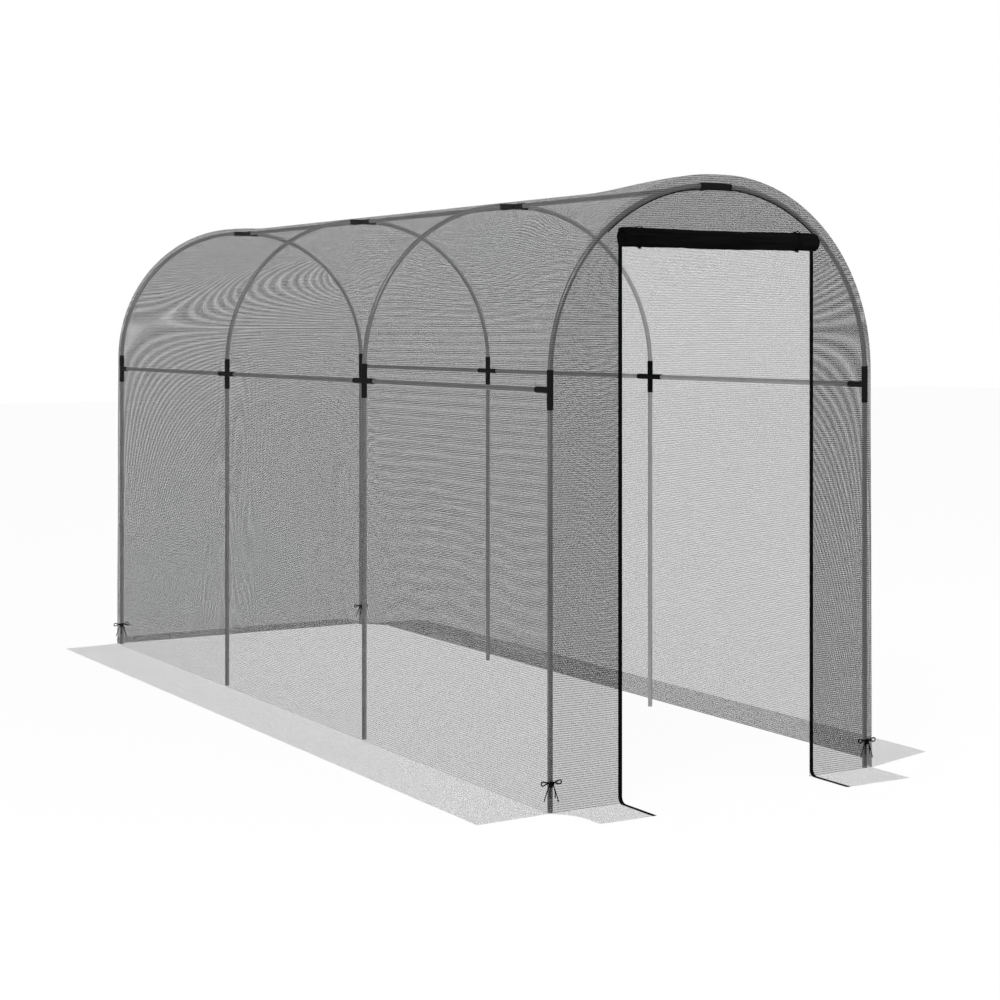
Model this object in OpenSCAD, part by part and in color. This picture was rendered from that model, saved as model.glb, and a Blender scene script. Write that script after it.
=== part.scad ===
// Crop cage: a hooped frame of steel tube and push-on connectors under a fitted net cover, with ground
// skirts all round and a roll-up net door at the front.
// +X is to the right seen from the front, +Y runs back along the length, +Z is up.
// The origin is on the ground at the middle of the whole footprint, skirts included.

/* [Frame] */
// Distance between the left and right posts, centre to centre
post_pitch = 1184; // [950:1:1450]
// Length of one bay, post centre to post centre
bay_length = 1200; // [950:1:1450]
// Number of bays along the length
bay_count = 3; // [2:1:5]
// Height of the shoulder connectors' centres above the ground
shoulder_height = 1224; // [1000:1:1500]
// Straight stretch of each hoop above the shoulder connector's centre
shoulder_straight = 42; // [20:1:80]
// Straight half-width of each hoop at the crown
crown_straight = 22; // [15:1:50]
// Outer diameter of every tube
tube_d = 16; // [12:0.5:20]
// Wall of every tube
tube_wall = 0.8; // [0.6:0.1:1.5]

/* [Connectors] */
// Wall of a connector sleeve
sleeve_wall = 1.45; // [1:0.05:2.5]
// Clearance all round between a tube and its sleeve
sleeve_gap = 0.3; // [0.2:0.05:0.5]
// Reach of the sleeves that hold posts and hoops, from the connector's centre
sleeve_reach = 58; // [40:1:80]
// Reach of the sleeves that hold the tubes along the length
rail_reach = 74; // [50:1:100]
// Distance from a connector's centre to where a tube stops inside it
tube_stop = 11; // [10.5:0.5:14]

/* [Cover] */
// Thickness of the net
net_t = 2; // [1:0.5:3]
// Clearance between the net and the connectors that it lies on, and at its seams
net_gap = 0.3; // [0.2:0.1:0.6]
// Distance from the end hoops' plane to the inner face of the front and rear nets
end_offset = 15.2; // [15:0.1:25]
// How far the cover's foot lies beyond the left posts
foot_left = 15; // [15:1:60]
// How far the cover's foot lies beyond the right posts, where it hangs loose
foot_right = 85; // [15:1:120]
// How far the roof rises above its seat over the front hoop
crown_lift_front = 24; // [0:1:40]
// How far the roof rises above its seat over the rear hoop
crown_lift_rear = 12; // [0:1:40]
// Width of the ground skirts at the sides
skirt_w = 245; // [150:1:350]
// How far the skirts at both ends reach beyond the end hoops' plane
end_reach = 196; // [120:1:300]

/* [Doorway] */
// Width of the doorway between the edges of its binding tape
door_w = 706; // [500:1:800]
// How far the doorway's top edge, where the rolled-up door is sewn on, lies below the hoops' crown
door_drop = 136; // [90:1:500]
// Width of the binding tape
tape_w = 14; // [8:1:25]
// Thickness of the binding tape
tape_t = 1.2; // [0.8:0.1:2]
// Diameter of the rolled-up door
roll_d = 57; // [35:1:80]
// How far the roll runs past the outer edge of the left binding tape (negative: short of it)
roll_over_left = 8; // [-20:1:30]
// How far the roll runs past the outer edge of the right binding tape (negative: short of it)
roll_over_right = -12; // [-20:1:30]
// Distance of the roll's left tie from the doorway's left edge
roll_tie_inset_left = 35; // [20:1:150]
// Distance of the roll's right tie from the doorway's right edge
roll_tie_inset_right = 83; // [20:1:150]

/* [Ties] */
// Diameter of the cord
cord_d = 3; // [2.4:0.1:3]
// Height of the corner ties above the ground
tie_height = 86; // [75:1:200]

/* [Hidden] */

$fn = 64;
// Side of the cage: left is -1, right is +1
LEFT = -1;
RIGHT = 1;

// Frame lines
half_pitch = post_pitch / 2;
bend_r = half_pitch - crown_straight;
bend_z = shoulder_height + shoulder_straight;
crown_height = bend_z + bend_r;
bend_len = bend_r * PI / 2;
hoop_len = crown_straight + bend_len + shoulder_straight;
y_front = -bay_count * bay_length / 2;
y_rear = -y_front;
// The footprint is centred on the origin, so the frame stands off it by half the difference of the feet
frame_x = (foot_left - foot_right) / 2;

// Radii
tube_r = tube_d / 2;
bore_r = tube_r - tube_wall;
sleeve_in = tube_r + sleeve_gap;
sleeve_r = sleeve_in + sleeve_wall;
// How far a cutting tool runs past a face
past = 1;

// Cover lines, as distances from the tubes' centre lines
seat = sleeve_r + net_gap;
front_face = y_front - end_offset;
rear_face = y_rear + end_offset;
// Length over which the loose foot of the side net gathers back to the corner post
corner_gather = 140;
// Lengths over which the raised ends of the roof settle onto the hoops
front_settle = 600;
rear_settle = 400;
// Segments of the roof over a quarter circle, and along its length
roof_steps = 14;
roof_rows = 18;
// The roof's flat strips lie outside the true curve, so that none of them cuts into a connector
strip_out = 1 / cos(45 / roof_steps);
seam_off = (bend_r + seat) * strip_out - bend_r;
// Outer corners of the skirts: how far the end skirts' corners stand in from the posts (negative: out), and
// how far the side skirts' front and rear corners stand back from the end hoops' planes
end_corner_in = [47, -19];
side_corner_front = [-27, 76];
side_corner_rear = [9, 40];
// Front edge of the front skirts, short of the tapes' ends
front_skirt_short = 3;
door_half = door_w / 2;
door_top = crown_height - door_drop;

// Doorway trim lines
tape_y = front_face - net_t - net_gap;
roll_y = front_face - net_t - 2 * net_gap - cord_d - roll_d / 2;
roll_z = door_top - net_gap - roll_d / 2 - 1;
roll_left = -door_half - tape_w - roll_over_left;
roll_right = door_half + tape_w + roll_over_right;
neck_drop = 40;
neck_lip = 6;
roll_tie_r = roll_d / 2 + net_gap + cord_d / 2;

// Route of a corner tie, around a post's centre line at the tie's height: up one tail, round the back of the
// post, across the front over itself, and down the other tail
TIE_ROUTE = [
    [-7, -12.6, -40], [-8, -12.6, -34], [-8.2, -12.5, -27], [-7.6, -12.2, -20], [-6.2, -11.8, -13.5],
    [-4, -11, -8], [-1, -10.3, -3.5], [2.5, -10, -1], [5.6, -8.8, 0.5], [8.8, -5.2, 0.5], [10.2, 0, 0.5],
    [8.8, 5.1, 0.5], [5.1, 8.8, 0.5], [0, 10.2, 0.5], [-5.1, 8.8, 0.5], [-8.8, 5.1, 0.5], [-10.2, 0, 0.5],
    [-9, -5.4, 0.5], [-6.6, -9.8, 0.5], [-3, -12.7, 0], [0.8, -13.3, -2.5], [4, -13.2, -7], [6.4, -12.9, -13],
    [8, -12.6, -20], [9, -12.6, -27], [9.4, -12.6, -34], [9.6, -12.6, -42]
];
tie_sides = 8;

function hoop_y(i) = y_front + i * bay_length;
function post_x(side) = frame_x + side * half_pitch;
function pick(side, pair) = side == LEFT ? pair[0] : pair[1];
function foot(side) = pick(side, [foot_left, foot_right]);
function roll_tie_x(side) = side * (door_half - pick(side, [roll_tie_inset_left, roll_tie_inset_right]));
// Falls smoothly from 1 at t = 0 to 0 at t = 1 and beyond
function fade(t) = t >= 1 ? 0 : 0.5 + 0.5 * cos(180 * max(t, 0));

// Distance of the side net's foot from the posts' line at a place along the length
function foot_at(side, y) =
    let (from_corner = min(y - front_face, rear_face - y))
    foot(side) - (foot(side) - end_offset) * fade(from_corner / corner_gather);
// Rise of the roof net at the crown above its seat at a place along the length
function lift_at(y) =
    crown_lift_front * fade((y - front_face) / front_settle) +
    crown_lift_rear * fade((rear_face - y) / rear_settle);
// A point of the roof's curve at an angle above the shoulder line, a distance off the hoop's centre line
function roof_point(side, angle, off, lift) =
    let (d = (bend_r + off) * strip_out + lift * pow(sin(angle), 1.5))
    [frame_x + side * (crown_straight + d * cos(angle)), bend_z + d * sin(angle)];
// Places along the length where the loose side net is shaped
function net_rows(y0, y1) =
    let (near = [for (k = [0:4]) k / 4 * corner_gather])
    concat([for (n = near) y0 + n], [for (k = [4:-1:0]) y1 - near[k]]);

module node_post(side, i) {
    color("dimgray")
        translate([post_x(side), hoop_y(i), 0])
            difference() {
                cylinder(r = tube_r, h = shoulder_height - tube_stop);
                translate([0, 0, -past])
                    cylinder(r = bore_r, h = shoulder_height - tube_stop + 2 * past);
            }
}

// A rod along the right half of the hoop's centre line, between two distances from the crown. Its bend
// starts at the crown's straight or ends at the shoulder's.
module hoop_rod(r, s0, s1) {
    bend_end = crown_straight + bend_len;
    flat_end = min(s1, crown_straight);
    b0 = max(s0, crown_straight) - crown_straight;
    b1 = min(s1, bend_end) - crown_straight;
    up0 = max(s0, bend_end);
    if (flat_end > s0)
        translate([s0, 0, crown_height])
            rotate([0, 90, 0])
                cylinder(r = r, h = flat_end - s0);
    if (b1 > b0)
        translate([crown_straight, 0, bend_z])
            rotate(b0 == 0 ? [0, -90, -90] : [90, 0, 0])
                rotate_extrude(angle = (b1 - b0) / bend_len * 90)
                    translate([bend_r, 0])
                        circle(r = r);
    if (s1 > up0)
        translate([half_pitch, 0, shoulder_height + hoop_len - s1])
            cylinder(r = r, h = s1 - up0);
}

module node_hoop(i) {
    color("dimgray")
        translate([frame_x, hoop_y(i), 0])
            for (side = [LEFT, RIGHT])
                on_side(side)
                    difference() {
                        hoop_rod(tube_r, tube_stop, hoop_len - tube_stop);
                        hoop_rod(bore_r, tube_stop - past, hoop_len - tube_stop + past);
                    }
}

// Mirrors a right-hand piece for the left side
module on_side(side) {
    if (side == LEFT)
        mirror([1, 0, 0])
            children();
    else
        children();
}

// Directions along the length in which hoop i's connectors hold a tube
function rail_ways(i) = concat(i > 0 ? [-1] : [], i < bay_count ? [1] : []);

// A rod along the length from a connector's centre
module rail_rod(way, r, from, to) {
    rotate([-90 * way, 0, 0])
        translate([0, 0, from])
            cylinder(r = r, h = to - from);
}

module node_shoulder(side, i) {
    color([0.08, 0.08, 0.08])
        translate([frame_x, hoop_y(i), 0])
            on_side(side)
                difference() {
                    union() {
                        hoop_rod(sleeve_r, hoop_len - sleeve_reach, hoop_len);
                        translate([half_pitch, 0, shoulder_height - sleeve_reach])
                            cylinder(r = sleeve_r, h = sleeve_reach);
                        translate([half_pitch, 0, shoulder_height])
                            for (way = rail_ways(i))
                                rail_rod(way, sleeve_r, 0, rail_reach);
                    }
                    hoop_rod(sleeve_in, hoop_len - sleeve_reach - past, hoop_len - tube_stop);
                    translate([half_pitch, 0, shoulder_height - sleeve_reach - past])
                        cylinder(r = sleeve_in, h = sleeve_reach + past - tube_stop);
                    translate([half_pitch, 0, shoulder_height])
                        for (way = rail_ways(i))
                            rail_rod(way, sleeve_in, tube_stop, rail_reach + past);
                }
}

// The rear end's crown connector is the front one turned round
module node_crown(i) {
    ends = i > 0 && i < bay_count ? [-1, 1] : [1];
    color([0.08, 0.08, 0.08])
        translate([frame_x, hoop_y(i), 0])
            rotate([0, 0, i == bay_count ? 180 : 0])
                difference() {
                    union() {
                        translate([-crown_straight, 0, crown_height])
                            rotate([0, 90, 0])
                                cylinder(r = sleeve_r, h = 2 * crown_straight);
                        on_side(RIGHT)
                            hoop_rod(sleeve_r, crown_straight, sleeve_reach);
                        on_side(LEFT)
                            hoop_rod(sleeve_r, crown_straight, sleeve_reach);
                        translate([0, 0, crown_height])
                            for (way = ends)
                                rail_rod(way, sleeve_r, 0, rail_reach);
                    }
                    on_side(RIGHT)
                        hoop_rod(sleeve_in, tube_stop, sleeve_reach + past);
                    on_side(LEFT)
                        hoop_rod(sleeve_in, tube_stop, sleeve_reach + past);
                    translate([0, 0, crown_height])
                        for (way = ends)
                            rail_rod(way, sleeve_in, tube_stop, rail_reach + past);
                }
}

// The tubes along the length on one line, one in each bay
module node_rails(x, z) {
    color("dimgray")
        for (i = [0:bay_count - 1])
            translate([x, hoop_y(i), z])
                difference() {
                    rail_rod(1, tube_r, tube_stop, bay_length - tube_stop);
                    rail_rod(1, bore_r, tube_stop - past, bay_length - tube_stop + past);
                }
}

// A closed skin between two grids of points with the same rows and columns
module skin(inner, outer) {
    rows = len(inner);
    cols = len(inner[0]);
    half = rows * cols;
    points = concat([for (row = inner) each row], [for (row = outer) each row]);
    quads = concat(
        [for (r = [0:rows - 2], c = [0:cols - 2])
            [r * cols + c, r * cols + c + 1, (r + 1) * cols + c + 1, (r + 1) * cols + c]],
        [for (r = [0:rows - 2], c = [0:cols - 2])
            [half + r * cols + c, half + (r + 1) * cols + c, half + (r + 1) * cols + c + 1, half + r * cols + c + 1]],
        [for (r = [0:rows - 2], e = [0, 1])
            let (a = r * cols + e * (cols - 1), b = a + cols)
            e == 0 ? [a, b, half + b, half + a] : [b, a, half + a, half + b]],
        [for (c = [0:cols - 2], e = [0, 1])
            let (a = e * (rows - 1) * cols + c, b = a + 1)
            e == 0 ? [b, a, half + a, half + b] : [a, b, half + b, half + a]]
    );
    polyhedron(points, [for (q = quads) each [[q[0], q[1], q[2]], [q[0], q[2], q[3]]]]);
}

module node_side_net(side) {
    top = bend_z - net_gap;
    rows = net_rows(front_face + net_gap, rear_face - net_gap);
    function face(off) = [for (y = rows) [
        [post_x(side) + side * (foot_at(side, y) + off), y, 0],
        [post_x(side) + side * (seam_off + off), y, top]
    ]];
    color("darkslategray")
        if (side == RIGHT)
            skin(face(0), face(net_t));
        else
            skin(face(net_t), face(0));
}

module node_roof_net(side) {
    y0 = front_face + net_gap;
    y1 = rear_face - net_gap;
    function line(y, off) = concat(
        [for (k = [0:roof_steps])
            let (p = roof_point(side, k / roof_steps * 90, off, lift_at(y)))
            [p[0], y, p[1]]],
        [[frame_x + side * net_gap / 2, y, crown_height + off + lift_at(y)]]
    );
    function face(off) = [for (k = [0:roof_rows]) line(y0 + k / roof_rows * (y1 - y0), off)];
    color("darkslategray")
        if (side == RIGHT)
            skin(face(seat), face(seat + net_t));
        else
            skin(face(seat + net_t), face(seat));
}

// Outline of an end net, up one side, over the roof and down the other
module end_outline(lift) {
    function edge(side) = concat(
        [[post_x(side) + side * (end_offset + net_t), 0]],
        [for (k = [0:roof_steps]) roof_point(side, k / roof_steps * 90, seat + net_t, lift)]
    );
    left = edge(LEFT);
    last = len(left) - 1;
    polygon(concat(edge(RIGHT), [for (k = [last:-1:0]) left[k]]));
}

// Stands a flat shape up as a net, with its inner face at y0 and its outer face away from the cage
module stand_net(y0, way) {
    translate([0, way > 0 ? y0 + net_t : y0, 0])
        rotate([90, 0, 0])
            linear_extrude(height = net_t)
                children();
}

module node_front_net(side) {
    color("darkslategray")
        stand_net(front_face, -1)
            intersection() {
                end_outline(crown_lift_front);
                translate([side == LEFT ? frame_x - post_pitch : frame_x + door_half, 0])
                    square([post_pitch - door_half, crown_height + post_pitch]);
            }
}

module node_front_net_top() {
    color("darkslategray")
        stand_net(front_face, -1)
            intersection() {
                end_outline(crown_lift_front);
                translate([frame_x - door_half + net_gap, door_top])
                    square([door_w - 2 * net_gap, crown_height]);
            }
}

module node_rear_net() {
    color("darkslategray")
        stand_net(rear_face, 1)
            end_outline(crown_lift_rear);
}

module node_side_skirt(side) {
    rows = net_rows(front_face, rear_face);
    inner = [for (y = rows) [post_x(side) + side * (foot_at(side, y) + net_t + net_gap), y]];
    outer_x = post_x(side) + side * (foot(side) + skirt_w);
    color("darkslategray")
        linear_extrude(height = net_t)
            polygon(concat(inner, [
                [outer_x, y_rear - pick(side, side_corner_rear)],
                [outer_x, y_front + pick(side, side_corner_front)]
            ]));
}

// One end skirt, from an inner edge along the foot of the end net to a free outer edge
module end_skirt(x0, x1, corner0, corner1, y0, y1) {
    linear_extrude(height = net_t)
        polygon([[x0, y0], [x1, y0], [corner1, y1], [corner0, y1]]);
}

module node_skirt_front() {
    y0 = front_face - net_t - net_gap;
    y1 = y_front - end_reach + front_skirt_short;
    color("darkslategray") {
        end_skirt(post_x(LEFT) - end_offset, frame_x - door_half, post_x(LEFT) + end_corner_in[0],
            frame_x - door_half, y0, y1);
        end_skirt(frame_x + door_half, post_x(RIGHT) + end_offset, frame_x + door_half,
            post_x(RIGHT) - end_corner_in[1], y0, y1);
    }
}

module node_skirt_rear() {
    color("darkslategray")
        end_skirt(post_x(LEFT) - end_offset, post_x(RIGHT) + end_offset, post_x(LEFT) + end_corner_in[0],
            post_x(RIGHT) - end_corner_in[1], rear_face + net_t + net_gap, y_rear + end_reach);
}

// Binding tape down each edge of the doorway and out over the front skirt
module node_door_tapes() {
    foot_z = net_t + net_gap;
    color([0.05, 0.05, 0.05])
        for (side = [LEFT, RIGHT])
            translate([frame_x + (side == LEFT ? -door_half - tape_w : door_half), 0, 0]) {
                translate([0, tape_y - tape_t, foot_z])
                    cube([tape_w, tape_t, door_top - foot_z]);
                translate([0, y_front - end_reach, foot_z])
                    cube([tape_w, end_reach + tape_y - y_front, tape_t]);
            }
}

// The door net, rolled up, with the neck by which it hangs from the doorway's top edge
module node_rolled_door() {
    color([0.05, 0.05, 0.05])
        translate([frame_x, 0, 0])
            union() {
                translate([roll_left, roll_y, roll_z])
                    rotate([0, 90, 0])
                        cylinder(d = roll_d, h = roll_right - roll_left);
                difference() {
                    translate([-door_half + net_gap, 0, door_top - net_gap - neck_drop]) {
                        translate([0, front_face - net_t, 0])
                            cube([door_w - 2 * net_gap, net_t, neck_drop]);
                        translate([0, roll_y, 0])
                            cube([door_w - 2 * net_gap, front_face - roll_y, neck_lip]);
                    }
                    for (side = [LEFT, RIGHT])
                        translate([roll_tie_x(side) - cord_d / 2 - net_gap, roll_y, roll_z - roll_d])
                            cube([cord_d + 2 * net_gap, roll_d, 2 * roll_d]);
                }
            }
}

module node_roll_ties() {
    color([0.05, 0.05, 0.05])
        for (side = [LEFT, RIGHT])
            translate([frame_x + roll_tie_x(side), roll_y, roll_z])
                rotate([0, 90, 0])
                    rotate_extrude()
                        translate([roll_tie_r, 0])
                            circle(d = cord_d);
}

function unit(v) = v / norm(v);

// A cord tied round a corner post, with its two tails hanging in front of the post
module node_corner_tie(side, y) {
    last = len(TIE_ROUTE) - 1;
    function ring(i) =
        let (
            p = TIE_ROUTE[i],
            along = unit(TIE_ROUTE[min(i + 1, last)] - TIE_ROUTE[max(i - 1, 0)]),
            away = [p[0], p[1], 0],
            u = unit(away - (away * along) * along),
            v = cross(along, u)
        )
        [for (k = [0:tie_sides - 1])
            p + cord_d / 2 * (cos(k / tie_sides * 360) * u + sin(k / tie_sides * 360) * v)];
    points = [for (i = [0:last]) each ring(i)];
    walls = [for (i = [0:last - 1], k = [0:tie_sides - 1])
        let (a = i * tie_sides + k, b = i * tie_sides + (k + 1) % tie_sides)
        each [[a, a + tie_sides, b + tie_sides], [a, b + tie_sides, b]]];
    caps = [[for (k = [0:tie_sides - 1]) k], [for (k = [tie_sides - 1:-1:0]) last * tie_sides + k]];
    color([0.05, 0.05, 0.05])
        translate([post_x(side), y, tie_height])
            polyhedron(points, concat(walls, caps));
}

node_post(LEFT, 0);  // post_left_1
node_post(LEFT, 1);  // post_left_2
node_post(LEFT, 2);  // post_left_3
node_post(LEFT, 3);  // post_left_4
node_post(RIGHT, 0);  // post_right_1
node_post(RIGHT, 1);  // post_right_2
node_post(RIGHT, 2);  // post_right_3
node_post(RIGHT, 3);  // post_right_4
node_hoop(0);  // hoop_1
node_hoop(1);  // hoop_2
node_hoop(2);  // hoop_3
node_hoop(3);  // hoop_4
node_shoulder(LEFT, 0);  // shoulder_left_1
node_shoulder(LEFT, 1);  // shoulder_left_2
node_shoulder(LEFT, 2);  // shoulder_left_3
node_shoulder(LEFT, 3);  // shoulder_left_4
node_shoulder(RIGHT, 0);  // shoulder_right_1
node_shoulder(RIGHT, 1);  // shoulder_right_2
node_shoulder(RIGHT, 2);  // shoulder_right_3
node_shoulder(RIGHT, 3);  // shoulder_right_4
node_crown(0);  // crown_1
node_crown(1);  // crown_2
node_crown(2);  // crown_3
node_crown(3);  // crown_4
node_rails(post_x(LEFT), shoulder_height);  // rails_left
node_rails(post_x(RIGHT), shoulder_height);  // rails_right
node_rails(frame_x, crown_height);  // ridge_tubes
node_side_net(LEFT);  // side_net_left
node_side_net(RIGHT);  // side_net_right
node_roof_net(LEFT);  // roof_net_left
node_roof_net(RIGHT);  // roof_net_right
node_front_net(LEFT);  // front_net_left
node_front_net(RIGHT);  // front_net_right
node_front_net_top();  // front_net_top
node_rear_net();  // rear_net
node_side_skirt(LEFT);  // skirt_left
node_side_skirt(RIGHT);  // skirt_right
node_skirt_front();  // skirt_front
node_skirt_rear();  // skirt_rear
node_door_tapes();  // door_tapes
node_rolled_door();  // rolled_door
node_roll_ties();  // roll_ties
node_corner_tie(LEFT, y_front);  // tie_front_left
node_corner_tie(RIGHT, y_front);  // tie_front_right
node_corner_tie(LEFT, y_rear);  // tie_rear_left
node_corner_tie(RIGHT, y_rear);  // tie_rear_right
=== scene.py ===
"""Looks of the crop cage: its net cover, door trim, ties and finishes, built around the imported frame.

Metres throughout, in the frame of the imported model: +X to the right seen from the front, +Y back, +Z up.
"""
import math

import bmesh
import bpy
import mathutils
import numpy as np
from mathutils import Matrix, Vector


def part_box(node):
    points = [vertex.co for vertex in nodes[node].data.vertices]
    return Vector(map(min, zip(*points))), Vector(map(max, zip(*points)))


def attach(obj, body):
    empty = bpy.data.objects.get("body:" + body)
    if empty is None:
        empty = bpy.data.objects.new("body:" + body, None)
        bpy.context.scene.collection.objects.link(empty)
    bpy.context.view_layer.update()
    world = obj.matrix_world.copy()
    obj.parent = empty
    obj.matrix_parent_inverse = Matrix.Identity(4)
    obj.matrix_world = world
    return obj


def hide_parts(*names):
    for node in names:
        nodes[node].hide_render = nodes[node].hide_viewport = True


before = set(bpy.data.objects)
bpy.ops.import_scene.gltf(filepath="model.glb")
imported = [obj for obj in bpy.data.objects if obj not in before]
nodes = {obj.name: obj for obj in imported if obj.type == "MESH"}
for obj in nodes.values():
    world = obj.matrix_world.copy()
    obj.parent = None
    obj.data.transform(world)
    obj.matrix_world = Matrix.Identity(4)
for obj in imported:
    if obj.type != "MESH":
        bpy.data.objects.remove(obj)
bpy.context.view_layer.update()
ROOT = "root"
TURN = 2 * math.pi


# ---------------------------------------------------------------- sizes read from the frame

def middle(node):
    """Centre of a CAD node's box."""
    low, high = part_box(node)
    return (np.array(low) + np.array(high)) / 2


BAYS = 3
POST_L = middle("post_left_1")[0]
POST_R = middle("post_right_1")[0]
MID_X = (POST_L + POST_R) / 2
HALF_PITCH = (POST_R - POST_L) / 2
HOOP_Y = [middle(f"post_left_{i + 1}")[1] for i in range(BAYS + 1)]
TUBE_R = float(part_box("post_left_1")[1][0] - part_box("post_left_1")[0][0]) / 2
CROWN_Z = middle("ridge_tubes")[2]
SHOULDER_Z = middle("rails_left")[2]
CROWN_FLAT = 0.022  # straight half-width of a hoop at its crown
BEND_R = HALF_PITCH - CROWN_FLAT
BEND_Z = CROWN_Z - BEND_R
SLEEVE_R = float(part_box("crown_1")[1][2]) - CROWN_Z

FRONT_Y = (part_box("front_net_left")[0][1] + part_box("front_net_left")[1][1]) / 2
REAR_Y = (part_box("rear_net")[0][1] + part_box("rear_net")[1][1]) / 2
NET_OFF = SLEEVE_R + 0.0012
CORNER_OUT = HOOP_Y[0] - FRONT_Y
FOOT_L = POST_L - float(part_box("side_net_left")[0][0]) - 0.001
FOOT_R = float(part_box("side_net_right")[1][0]) - POST_R - 0.001
FRONT_LIFT = float(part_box("front_net_top")[1][2]) - CROWN_Z - NET_OFF - 0.002
REAR_LIFT = float(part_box("rear_net")[1][2]) - CROWN_Z - NET_OFF - 0.002
FRONT_SETTLE = 0.6  # length over which the raised roof settles behind the front hoop
REAR_SETTLE = 0.4
GATHER = 0.14  # length over which the cover's loose foot is gathered to a corner
GROUND_NET = 0.0011  # height of the net's foot above the ground

TAPE_LOW, TAPE_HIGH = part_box("door_tapes")
TAPE_W = 0.014
TAPE_T = 0.0012
DOOR_L = float(TAPE_LOW[0]) + TAPE_W
DOOR_R = float(TAPE_HIGH[0]) - TAPE_W
DOOR_TOP = float(TAPE_HIGH[2])
TAPE_Y = float(TAPE_HIGH[1]) - TAPE_T / 2
ROLL_LOW, ROLL_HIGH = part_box("rolled_door")
TIE_LOW, TIE_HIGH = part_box("roll_ties")
ROLL_Y = (TIE_LOW[1] + TIE_HIGH[1]) / 2
ROLL_Z = (TIE_LOW[2] + TIE_HIGH[2]) / 2
ROLL_R = ROLL_Y - float(ROLL_LOW[1])
CORD_R = 0.0015
TIE_XS = [float(TIE_LOW[0]) + CORD_R, float(TIE_HIGH[0]) - CORD_R]


# ---------------------------------------------------------------- finishes

class Wire:
    """A socket that can be added, multiplied and compared, each step as a Math node."""

    def __init__(self, finish, socket):
        self.finish = finish
        self.socket = socket

    def math(self, operation, *values):
        return self.finish.node("ShaderNodeMath", {"operation": operation}, list(values))

    def __add__(self, other):
        return self.math("ADD", self, other)

    __radd__ = __add__

    def __sub__(self, other):
        return self.math("SUBTRACT", self, other)

    def __rsub__(self, other):
        return self.math("SUBTRACT", other, self)

    def __mul__(self, other):
        return self.math("MULTIPLY", self, other)

    __rmul__ = __mul__

    def __truediv__(self, other):
        return self.math("DIVIDE", self, other)

    def __lt__(self, other):
        return self.math("LESS_THAN", self, other)

    def part(self):
        """The share past the last whole number."""
        return self.math("FRACT", self)

    def size(self):
        return self.math("ABSOLUTE", self)

    def sine(self):
        return self.math("SINE", self)

    def most(self, other):
        return self.math("MAXIMUM", self, other)


class Finish:
    """A material under construction."""

    def __init__(self, name):
        self.material = bpy.data.materials.new(name)
        self.material.use_nodes = True
        self.tree = self.material.node_tree
        self.tree.nodes.clear()

    def node(self, kind, settings=None, sockets=None, out=0):
        """Adds a node: its settings first, then its sockets' values or links; gives one of its outputs."""
        made = self.tree.nodes.new(kind)
        for key, value in (settings or {}).items():
            if key == "stops":
                ramp = made.color_ramp.elements
                while len(ramp) < len(value):
                    ramp.new(0.5)
                for element, (place, colour) in zip(ramp, value):
                    element.position = place
                    element.color = (*colour, 1)
            else:
                setattr(made, key, value)
        pairs = sockets.items() if isinstance(sockets, dict) else enumerate(sockets or [])
        for key, value in pairs:
            if isinstance(value, Wire):
                self.tree.links.new(value.socket, made.inputs[key])
            else:
                made.inputs[key].default_value = value
        return Wire(self, made.outputs[out]) if made.outputs else None

    def place(self):
        """The point on the piece, in metres."""
        return self.node("ShaderNodeTexCoord", out="Object")

    def cloth(self):
        """The two distances along the cloth, in metres."""
        uv = self.node("ShaderNodeUVMap", {"uv_map": "cloth"})
        return [self.node("ShaderNodeSeparateXYZ", {}, [uv], out=k) for k in (0, 1)]

    def noise(self, scale, detail=3.0, roughness=0.55, where=None):
        return self.node("ShaderNodeTexNoise", {}, {
            "Vector": where or self.place(), "Scale": scale, "Detail": detail, "Roughness": roughness})

    def ramp(self, fac, *stops):
        return self.node("ShaderNodeValToRGB", {"stops": stops}, {"Fac": fac})

    def mix(self, fac, first, second):
        return self.node("ShaderNodeMix", {"data_type": "RGBA"}, {0: fac, 6: first, 7: second}, out=2)

    def bump(self, height, strength, distance):
        return self.node("ShaderNodeBump", {}, {
            "Height": height, "Strength": strength, "Distance": distance})

    def done(self, **sockets):
        """Closes the material with the main shader; underscores in the names stand for spaces."""
        named = {key.replace("_", " "): value for key, value in sockets.items()}
        shader = self.node("ShaderNodeBsdfPrincipled", {}, named)
        self.node("ShaderNodeOutputMaterial", {}, {"Surface": shader})
        return self.material


def grey(value, tint=(1.0, 1.0, 1.0)):
    return (value * tint[0], value * tint[1], value * tint[2], 1.0)


def shade(value, tint=(1.0, 1.0, 1.0)):
    return grey(value, tint)[:3]


def make_steel():
    """Painted steel tube: mid grey, faint speckle, fine grain and a satin sheen."""
    f = Finish("steel_tube_finish")
    speckle = f.noise(900.0, 2.0)
    cloud = f.noise(14.0, 4.0)
    colour = f.ramp(cloud, (0.3, shade(0.34)), (0.7, shade(0.40)))
    colour = f.mix(speckle * 0.25, colour, grey(0.55))
    rough = f.noise(60.0, 4.0) * 0.16 + 0.26
    return f.done(Base_Color=colour, Roughness=rough, Metallic=0.40,
                  Normal=f.bump(speckle, 0.10, 0.0002))


def make_connector():
    """Moulded black plastic with a fine pebbled skin."""
    f = Finish("connector_finish")
    pebble = f.node("ShaderNodeTexVoronoi", {}, {"Vector": f.place(), "Scale": 900.0})
    cloud = f.noise(35.0, 3.0)
    tint = (0.80, 1.0, 0.90)
    colour = f.ramp(cloud, (0.35, shade(0.0028, tint)), (0.7, shade(0.0050, tint)))
    return f.done(Base_Color=colour, Roughness=cloud * 0.2 + 0.42, Specular_IOR_Level=0.05,
                  Normal=f.bump(pebble, 0.15, 0.0003))


MESH_PITCH = 0.0022
THICK_EVERY = 3


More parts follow.
